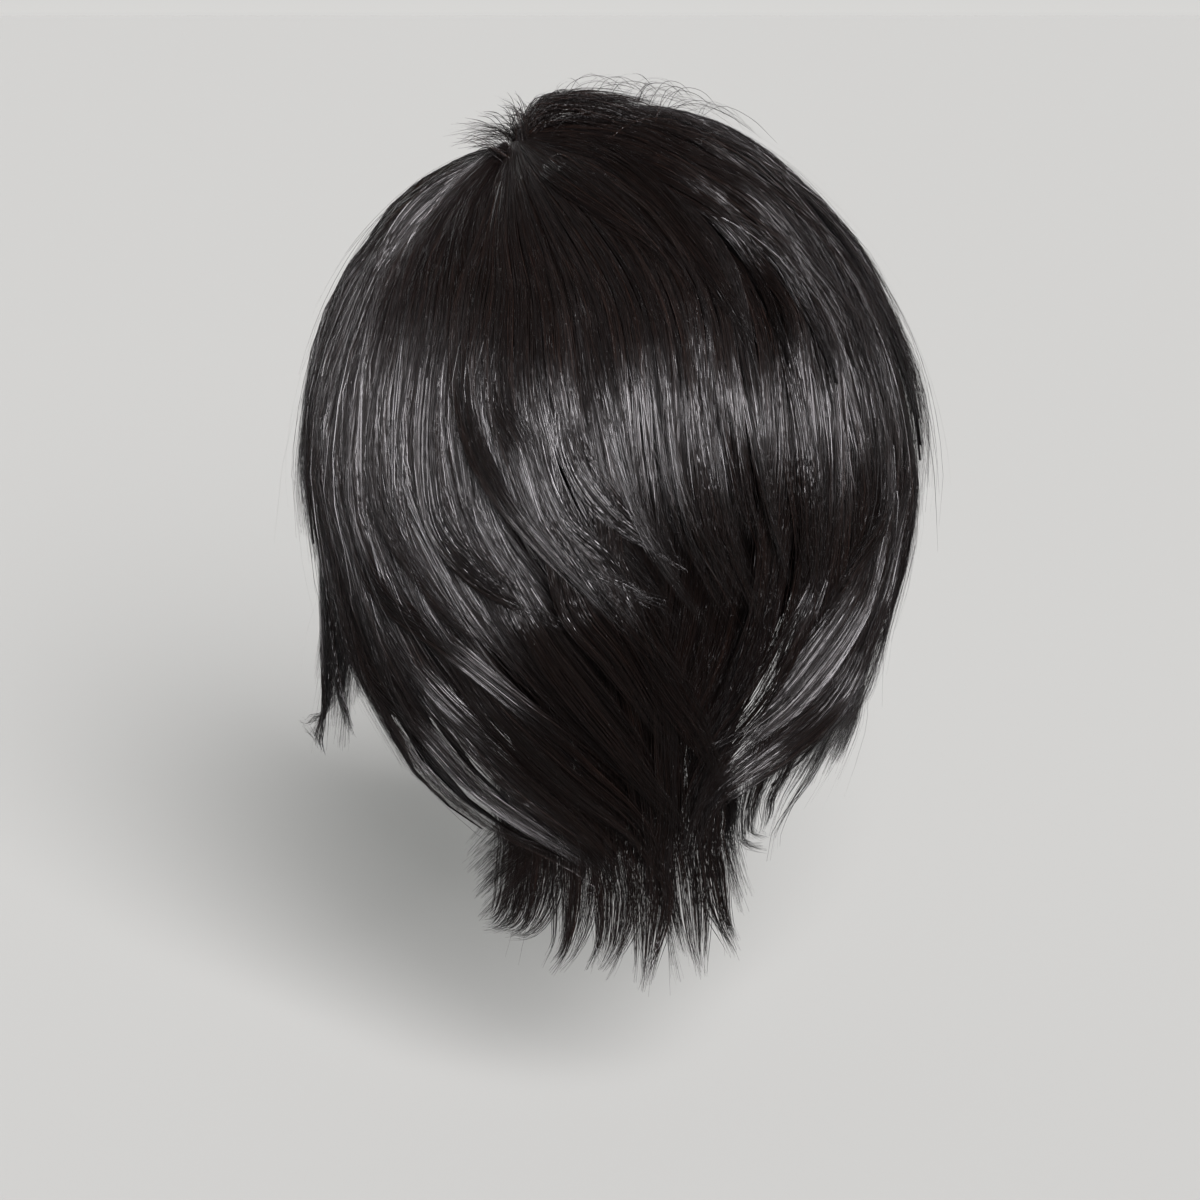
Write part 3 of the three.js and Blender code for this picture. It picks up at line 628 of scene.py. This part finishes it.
# Separate locks on the outside: region, width, hairs, tip raised, tip swung sideways, then turn, drop and lift
ACCENTS = [
    ("back_hair_left", 9, 170, 1.0, 2.0, [(144, 34, 100), (146, 45, 101), (150, 52, 101), (157, 56, 101),
                                          (164, 58, 101), (172, 60, 101)]),
    ("back_hair_left", 8, 150, 1.5, 1.0, [(133, 36, 100), (134, 44, 101), (138, 51, 101), (142, 55, 101),
                                          (151, 60, 101), (164, 62, 101)]),
    ("back_hair_left", 9, 170, 1.0, 1.5, [(121, 40, 100), (127, 51, 101), (133, 58, 101), (148, 63, 101),
                                          (165, 70, 101), (178, 76, 101)]),
    ("back_hair_left", 10, 190, 0.5, 1.0, [(112, 44, 100), (112, 58, 101), (120, 68, 101), (135, 74, 101),
                                           (148, 81, 101), (164, 86, 100), (186, 91, 98)]),
    ("back_hair_left", 8, 150, 1.0, 0.5, [(124, 50, 100), (130, 61, 101), (143, 69, 101), (158, 77, 101),
                                          (176, 86, 101), (190, 92, 98)]),
    ("back_hair_upper", 9, 170, 1.5, 0.5, [(157, 33, 100), (159, 40, 101), (164, 44, 101), (168, 49, 101),
                                           (174, 54, 101), (183, 62, 101)]),
    ("back_hair_upper", 9, 170, 4.0, 1.0, [(164, 35, 100), (166, 44, 101), (171, 50, 101), (178, 54, 101),
                                           (185, 60, 101), (190, 66, 101)]),
    ("back_hair_upper", 7, 120, 3.0, 2.0, [(171, 38, 100), (173, 44, 101), (178, 48, 101), (185, 51, 101),
                                           (194, 54, 101)]),
    ("back_hair_upper", 7, 120, 3.0, 2.0, [(168, 43, 100), (171, 49, 101), (176, 54, 101), (183, 56, 101),
                                           (190, 58, 102)]),
    ("back_hair_upper", 8, 150, 5.0, 1.0, [(178, 46, 100), (180, 55, 101), (183, 59, 101), (188, 63, 101),
                                           (197, 68, 102)]),
    ("back_hair_upper", 6, 110, 1.0, -0.5, [(194, 36, 100), (195, 44, 101), (198, 51, 101), (202, 55, 101)]),
    ("back_hair_right", 9, 150, 0.5, 0.0, [(214, 36, 100), (214, 44, 101), (215, 51, 101), (217, 59, 100)]),
    ("back_hair_right", 8, 150, 0.5, -1.0, [(239, 45, 100), (236, 52, 101), (229, 56, 101), (218, 62, 101)]),
    ("back_hair_right", 15, 260, 0.5, -1.0, [(238, 52, 100), (234, 58, 101), (227, 64, 101), (219, 69, 101),
                                            (210, 73, 101), (199, 76, 100)]),
    ("back_hair_right", 18, 320, 0.5, -1.0, [(250, 48, 100), (243, 60, 101), (237, 70, 101), (223, 75, 101),
                                             (206, 80, 100), (198, 84, 98)]),
    ("back_hair_left", 11, 170, 5.0, 0.5, [(168, 48, 100), (171, 52, 101), (174, 58, 101), (180, 63, 101),
                                           (188, 70, 101), (198, 77, 100)]),
    ("back_hair_left", 10, 150, 5.0, 0.5, [(176, 50, 100), (180, 55, 101), (185, 61, 101), (191, 67, 101),
                                           (200, 74, 101), (207, 80, 100)]),
    ("back_hair_left", 12, 190, 4.0, 0.5, [(161, 55, 100), (166, 60, 101), (171, 65, 101), (180, 72, 101),
                                           (190, 79, 101), (206, 87, 99)]),
    ("back_hair_left", 12, 190, 3.0, 0.5, [(148, 60, 100), (154, 67, 101), (163, 73, 101), (174, 79, 101),
                                           (189, 85, 101), (206, 93, 98)]),
    ("back_hair_left", 12, 190, 1.0, 1.0, [(135, 66, 100), (145, 72, 101), (156, 78, 101), (167, 83, 101),
                                           (181, 89, 101), (193, 96, 98)]),
    ("back_hair_right", 12, 190, 1.0, -1.0, [(243, 57, 96), (239, 65, 97), (229, 72, 98), (216, 76, 98),
                                             (206, 81, 98), (205, 88, 98)]),
    ("back_hair_right", 11, 170, 1.0, -1.0, [(222, 56, 95), (217, 62, 96), (212, 69, 96), (205, 75, 96),
                                             (201, 81, 96), (203, 88, 96)]),
    ("back_hair_right", 11, 150, 4.0, -4.0, [(228, 64, 92), (222, 70, 94), (217, 76, 96), (220, 82, 98),
                                           (238, 88, 102), (262, 92, 108)]),
    ("back_hair_right", 9, 110, 4.0, -4.0, [(234, 62, 96), (232, 70, 97), (227, 75, 98), (226, 81, 99),
                                           (238, 86, 102), (260, 90, 106)]),
    ("side_hair_right", 14, 55, 2.0, 0.0, [(-74, 66, 78), (-70, 75, 80), (-66, 84, 84), (-62, 91, 90),
                                           (-64, 97, 98)]),
    ("side_hair_left", 28, 260, 4.0, 0.0, [(76, 58, 98), (77, 66, 101), (78, 73, 103), (78, 77, 107),
                                           (77, 80, 116), (75, 79, 126)]),
    ("side_hair_left", 10, 110, 2.0, 0.0, [(86, 58, 92), (86, 66, 94), (86, 72, 95), (87, 76, 97),
                                           (90, 79, 99), (94, 79, 103)]),
    ("nape_hair", 12, 180, 1.0, 3.0, [(151, 78, 60), (143, 86, 76), (138, 91, 84), (129, 97, 90), (112, 100, 96)]),
    ("nape_hair", 12, 180, 1.0, 3.0, [(158, 78, 60), (153, 87, 76), (150, 92, 84), (143, 97, 90), (130, 100, 96)]),
    ("nape_hair", 12, 180, 1.0, 2.0, [(166, 78, 60), (165, 87, 78), (165, 93, 86), (162, 98, 90), (154, 102, 94)]),
    ("nape_hair", 12, 180, 1.0, 1.0, [(177, 78, 60), (180, 88, 78), (182, 93, 86), (180, 98, 90), (174, 102, 94)]),
    ("nape_hair", 12, 180, 1.0, 0.0, [(188, 78, 60), (194, 89, 78), (197, 94, 86), (195, 99, 90), (192, 103, 94)]),
    ("nape_hair", 12, 170, 1.0, 0.0, [(199, 76, 60), (207, 86, 78), (213, 93, 86), (216, 99, 90), (218, 103, 93)]),
    ("nape_hair", 10, 150, 1.0, -2.0, [(206, 78, 60), (220, 88, 78), (230, 95, 86), (237, 99, 90), (243, 103, 94)]),
    ("nape_hair", 9, 170, 0.5, 1.0, [(176, 56, 70), (183, 70, 74), (188, 80, 80), (194, 90, 84), (196, 99, 90)]),
    ("nape_hair", 8, 150, 0.5, 2.0, [(188, 58, 70), (191, 70, 74), (194, 80, 80), (202, 92, 84), (213, 104, 92)]),
    ("top_sweep", 9, 170, 1.5, 1.0, [(200, 2, 60), (190, 8, 92), (190, 15, 99), (194, 24, 100), (196, 32, 102)]),
    ("top_sweep", 9, 170, 1.5, 1.0, [(250, 3, 80), (220, 9, 95), (210, 16, 99), (204, 25, 100), (204, 33, 101),
                                     (209, 39, 103)]),
    ("crown_left", 8, 140, 0.5, 0.0, [(110, 4, 92), (108, 10, 99), (117, 24, 100), (121, 36, 101), (121, 44, 101)]),
]

def region_hair(name, region, seed):
    """The locks, fine hairs and separate locks of one region."""
    style = STYLES[name]
    rng = np.random.default_rng(seed)
    builder = Builder()
    table = lock_table(rng, region["locks"] * LOCK_SPLIT, style)
    make_locks(builder, region["guides"], table, style, region["depth"], region["tip"])
    make_strands(builder, rng, region["guides"], table, style)
    for owner, width, count, flick, swing, rows in ACCENTS:
        if owner == name:
            make_accent(builder, rng, rows, width, count, flick, swing)
    builder.finish("hair_" + name, [SHADE_FIBRES.get(name, strand_mat), body_mat], nodes=[name])


def dome(x, y):
    """Height of the hair's outside over the crown."""
    reach = np.minimum(1, (x / HAIR_BODY["half"]) ** 2 + (y / HAIR_BODY["back"]) ** 2)
    return HAIR_BODY["widest"] + (HAIR_BODY["top"] - HAIR_BODY["widest"]) * np.sqrt(1 - reach)


def tuft(builder, rng):
    """Short hairs that stand up at the whorl."""
    count, clumps = 380, 12
    clump = rng.integers(0, clumps, count)
    angle = (np.linspace(-0.35, 1.1, clumps) + rng.normal(0, 0.12, clumps))[clump] + rng.normal(0, 0.13, count)
    x = 31 + rng.normal(0, 2.5, clumps)[clump] + rng.normal(0, 1.2, count)
    y = 36 + rng.normal(0, 5, clumps)[clump] + rng.normal(0, 1.5, count)
    root = np.stack([x, y, dome(x, y) - 4 - rng.random(count) * 2], -1)
    rise = rng.uniform(9, 17, clumps)[clump] * rng.uniform(0.55, 1.15, count)
    lean = np.stack([np.sin(angle), (rng.normal(0, 0.3, clumps))[clump] + rng.normal(0, 0.1, count),
                     np.cos(angle)], -1)
    curl = np.stack([rng.normal(3.5, 1.5, count), rng.normal(0, 1.5, count), rng.normal(-2.5, 1.2, count)], -1)
    points = np.stack([root - lean * 3, root + lean * rise[:, None] * 0.4,
                       root + lean * rise[:, None] * 0.8 + curl * 0.3, root + lean * rise[:, None] + curl], 1)
    make_free(builder, rng, points, 0.17)


def mound(builder, rng):
    """Hairs that rise beside the whorl and lie over to the right."""
    count, clumps = 640, 16
    clump = rng.integers(0, clumps, count)
    x, y = 27 + rng.normal(0, 2.5, count), 32 + rng.normal(0, 8, clumps)[clump] + rng.normal(0, 2, count)
    root = np.stack([x, y, dome(x, y) - 3], -1)
    reach = rng.uniform(30, 46, clumps)[clump] * rng.uniform(0.75, 1.1, count)
    turn = rng.normal(-0.1, 0.3, clumps)[clump] + rng.normal(0, 0.12, count)
    way = np.stack([-np.cos(turn), np.sin(turn)], -1)
    points = []
    hump = np.exp(-((y - 33) / 11) ** 2)
    for share, rise in ((0, -3), (0.2, 5.5), (0.52, 3.4), (1.0, -0.2)):
        place = root[:, :2] + way * (reach * share)[:, None]
        lift = (rise + 1) * hump - 1 - 2.5 * rng.random(count) ** 2 + rng.normal(0, 0.4, count)
        points.append(np.concatenate([place, (dome(place[:, 0], place[:, 1]) + lift)[:, None]], 1))
    make_free(builder, rng, np.stack(points, 1), 0.2)


def wisps(builder, rng):
    """Single hairs that arch over the top of the hair."""
    count = 110
    x = rng.uniform(-30, 26, count)
    y = rng.normal(15, 20, count)
    span = rng.uniform(10, 30, count)
    high = rng.uniform(1, 7, count)
    drift = rng.normal(0, 12, count)
    steps = [(0, -2), (0.35, 0.7), (0.7, 1.0), (1.0, 0.4)]
    points = np.stack([np.stack([x - span * a, y + drift * a, dome(x - span * a, y + drift * a) + high * b], -1)
                       for a, b in steps], 1)
    make_free(builder, rng, points, 0.16)


def whorl_hair():
    rng = np.random.default_rng(40)
    builder = Builder()
    tuft(builder, rng)
    mound(builder, rng)
    wisps(builder, rng)
    builder.finish("hair_whorl", [loose_shade_mat])


def loose_hair():
    """Single hairs that stand off the rest."""
    rng = np.random.default_rng(41)
    builder = Builder()
    count = LOOSE_HAIRS
    grow = np.linspace(0, 1, FREE_STEPS + 1)[None, :]
    for region in REGIONS.values():
        u = rng.random(count)
        first = rng.uniform(0.05, 0.6, count)
        last = np.minimum(1.0, first + rng.uniform(0.25, 0.6, count))
        along = first[:, None] + (last - first)[:, None] * grow
        across = u[:, None] + rng.normal(0, 0.06, count)[:, None] * grow
        path = sheet(region["guides"], np.clip(across, 0, 1), along)
        turn, drop, lift = path[..., 0], path[..., 1] / 100, path[..., 2] / 100
        points = hair_points(turn, drop, lift)
        side, out = directions(points, turn, drop)
        offset = 0.8 + rng.gamma(1.6, 2.0, count)[:, None] * grow ** 1.4
        offset = offset + rng.normal(0, 1, count)[:, None] * grow
        sideways = rng.normal(0, 4, count)[:, None] * grow ** 1.6
        points = points + out * np.minimum(offset, 12)[..., None] + side * sideways[..., None]
        side, out = directions(points, turn, drop)
        roll = rng.normal(0, 0.6, count)[:, None] * np.ones_like(along)
        add_ribbons(builder, rng, points, side, out, roll, 0.13, rng.random(count), along)
    builder.finish("hair_loose", [strand_mat])


# Camera, floor, lights and surroundings
FLOOR_HALF = 300.0
FLOOR_LEVEL = -0.352

# Brightness of the surroundings: 0 is straight down, 0.5 the horizon, where it meets the floor, and 1 straight up
SKY = [(0.0, (0.1, 0.1, 0.1)), (0.485, (0.14, 0.14, 0.14)), (0.4975, (0.685, 0.68, 0.666)),
       (0.5, (0.685, 0.68, 0.666)), (0.545, (0.4, 0.4, 0.4)), (0.67, (0.24, 0.24, 0.245)),
       (1.0, (0.21, 0.21, 0.215))]


def add_camera():
    """The camera at the photograph's angle."""
    data = bpy.data.cameras.new("camera")
    data.sensor_width = SENSOR
    data.lens = SENSOR * PHOTO_FOCAL / PHOTO_SIZE
    camera = bpy.data.objects.new("camera", data)
    camera.location = PHOTO_PLACE
    camera.rotation_euler = (math.radians(90 - PHOTO_PITCH), 0, math.radians(180))
    bpy.context.scene.collection.objects.link(camera)
    bpy.context.scene.camera = camera


def floor():
    """Plain pale floor, which doesn't show in the hair's gloss."""
    material, nodes, links, shader = node_material("floor")
    shader.inputs["Base Color"].default_value = (0.4, 0.408, 0.389, 1)
    shader.inputs["Roughness"].default_value = 1.0
    shader.inputs["Specular IOR Level"].default_value = 0.0
    mesh = bpy.data.meshes.new("floor")
    corners = [(-1, -1), (1, -1), (1, 1), (-1, 1)]
    mesh.from_pydata([(x * FLOOR_HALF, y * FLOOR_HALF, FLOOR_LEVEL) for x, y in corners], [], [(0, 1, 2, 3)])
    mesh.materials.append(material)
    plane = bpy.data.objects.new("floor", mesh)
    bpy.context.scene.collection.objects.link(plane)
    plane.visible_glossy = False


def sun_light(name, direction, power, angle, colour):
    data = bpy.data.lights.new(name, "SUN")
    data.energy = power
    data.color = colour
    data.angle = math.radians(angle)
    lamp = bpy.data.objects.new(name, data)
    lamp.rotation_euler = Vector(direction).to_track_quat("-Z", "Y").to_euler()
    bpy.context.scene.collection.objects.link(lamp)


def surroundings():
    """Even light that fades upwards from the horizon."""
    world = bpy.data.worlds.new("world")
    world.use_nodes = True
    nodes, links = world.node_tree.nodes, world.node_tree.links
    where = nodes.new("ShaderNodeTexCoord")
    split = nodes.new("ShaderNodeSeparateXYZ")
    links.new(where.outputs["Generated"], split.inputs[0])
    sky = ramp(nodes, SKY)
    links.new(maths(nodes, links, "MULTIPLY_ADD", split.outputs[2], 0.5, 0.5), sky.inputs[0])
    links.new(sky.outputs[0], nodes["Background"].inputs[0])
    bpy.context.scene.world = world


for number, (name, region) in enumerate(REGIONS.items()):
    region_hair(name, region, 100 + number)
whorl_hair()
loose_hair()
add_camera()
floor()
sun_light("key", (0.5, -3.0, -1.1), 11.6, 26, (1.0, 0.96, 0.995))
sun_light("fill", (-0.35, 1.0, -0.22), 2.2, 50, (1.0, 1.0, 1.0))
surroundings()
bpy.context.scene.view_settings.view_transform = "Standard"
